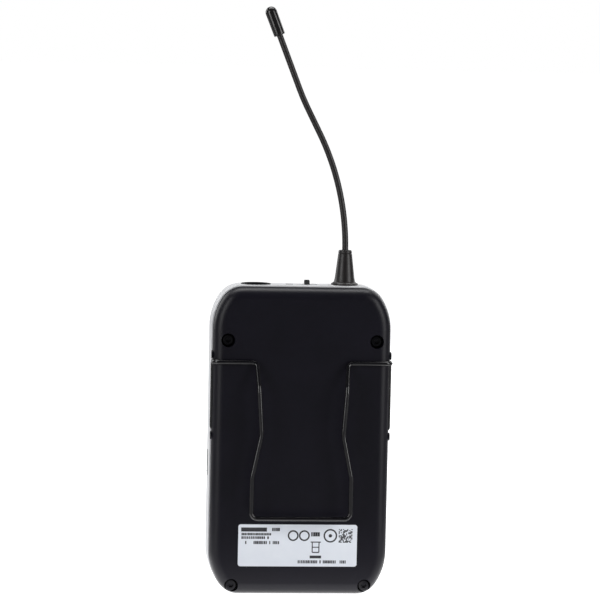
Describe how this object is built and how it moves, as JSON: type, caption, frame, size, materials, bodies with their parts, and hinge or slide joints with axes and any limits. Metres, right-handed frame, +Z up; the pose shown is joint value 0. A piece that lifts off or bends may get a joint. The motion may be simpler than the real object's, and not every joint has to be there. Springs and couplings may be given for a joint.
{
  "type": "wireless bodypack transmitter",
  "caption": "Wireless bodypack transmitter with wire belt clip, whip antenna, microphone jack, slide switch, battery door and front controls.",
  "frame": {"origin": "middle of the flat base that the pack stands on", "axes": "+Z up along the pack's height, +Y out of the rear face with the belt clip, +X to the right as seen from the front"},
  "size_m": [0.0646, 0.0284, 0.2087],
  "materials": {
    "case_black": "satin moulded ABS, fine texture",
    "case_light": "satin silver-white paint on moulded ABS",
    "tab_grey": "moulded, satin",
    "control_black": "moulded, satin",
    "clip_wire": "black coated spring steel",
    "screw_black": "black oxide",
    "label_stock": "matt coated label",
    "antenna_rubber": "smooth moulded rubber",
    "jack_metal": "dark nickel",
    "jack_insulator": "moulded",
    "contact_brass": "plated",
    "spring_steel": "bright",
    "nickel": "plated",
    "tin_can": "satin tinplate",
    "board_green": "solder mask",
    "chip_black": "moulded epoxy",
    "display_dark": "smoked acrylic",
    "display_face": "display module",
    "led_lens": "clear moulded, unlit",
    "led_body": "clear epoxy",
    "bay_black": "moulded, matt",
    "foam_grey": "closed-cell foam",
    "cell_jacket": null
  },
  "bodies": {
    "case": {"front_shell": "case_light", "rear_shell": "case_black", "door_hinge_pins": "spring_steel", "belt_clip_leg_left": "clip_wire", "belt_clip_leg_right": "clip_wire", "case_screws_upper": "screw_black", "case_screws_lower": "screw_black", "board_screws": "nickel", "display_board_screws": "nickel", "rating_label": "label_stock", "mic_connector_shell": "jack_metal", "mic_connector_insulator": "jack_insulator", "mic_connector_pins": "contact_brass", "mic_connector_nut": "nickel", "antenna_terminal": "contact_brass", "antenna_nut": "nickel", "antenna_boot": "antenna_rubber", "antenna_whip": "antenna_rubber", "antenna_tip_cap": "antenna_rubber", "top_board": "board_green", "power_switch_body": "tin_can", "status_led_lens": "led_lens", "status_led": "led_body", "display_window": "display_dark", "display_board": "board_green", "display_module": "display_face", "tact_switches": "chip_black", "gain_potentiometer": "tin_can", "main_circuit_board": "board_green", "rf_shield_can": "tin_can", "surface_chips": "chip_black", "board_header": "chip_black", "battery_tray": "bay_black", "battery_contact_plates": "nickel", "battery_contact_springs": "spring_steel", "battery_cell_left": "cell_jacket", "battery_cell_right": "cell_jacket"},
    "door": {"battery_door": "case_light", "door_foam_pad": "foam_grey"},
    "release_tab_left": {"door_release_tab_left": "tab_grey"},
    "release_tab_right": {"door_release_tab_right": "tab_grey"},
    "group_key": {"group_button": "control_black"},
    "channel_key": {"channel_button": "control_black"},
    "gain_dial": {"gain_knob": "control_black"},
    "power_lever": {"power_switch_slider": "control_black"},
    "clip_tongue": {"belt_clip_tongue": "clip_wire"}
  },
  "joints": [
    {"name": "door_hinge", "type": "hinge", "parent": "case", "child": "door", "pos_m": [0, -0.0089, 0.0058], "axis": [1, 0, 0], "range_deg": [0, 90]},
    {"name": "release_tab_left_slide", "type": "slide", "parent": "case", "child": "release_tab_left", "axis": [1, 0, 0], "range_m": [0, 0.0012], "stiffness_N_per_m": 1500, "springref_m": -0.0006},
    {"name": "release_tab_right_slide", "type": "slide", "parent": "case", "child": "release_tab_right", "axis": [-1, 0, 0], "range_m": [0, 0.0012], "stiffness_N_per_m": 1500, "springref_m": -0.0006},
    {"name": "group_button_press", "type": "slide", "parent": "case", "child": "group_key", "axis": [0, 1, 0], "range_m": [0, 0.0004], "stiffness_N_per_m": 800, "springref_m": -0.0003},
    {"name": "channel_button_press", "type": "slide", "parent": "case", "child": "channel_key", "axis": [0, 1, 0], "range_m": [0, 0.0004], "stiffness_N_per_m": 800, "springref_m": -0.0003},
    {"name": "gain_knob_turn", "type": "hinge", "parent": "case", "child": "gain_dial", "pos_m": [0, 0, 0.0675], "axis": [0, 1, 0], "range_deg": [-135, 135]},
    {"name": "power_switch_slide", "type": "slide", "parent": "case", "child": "power_lever", "axis": [-1, 0, 0], "range_m": [0, 0.0025]},
    {"name": "clip_flex", "type": "hinge", "parent": "case", "child": "clip_tongue", "pos_m": [0, 0.0114, 0.0832], "axis": [1, 0, 0], "range_deg": [0, 12], "stiffness_Nm_per_rad": 1.5, "springref_deg": -2.86}
  ]
}
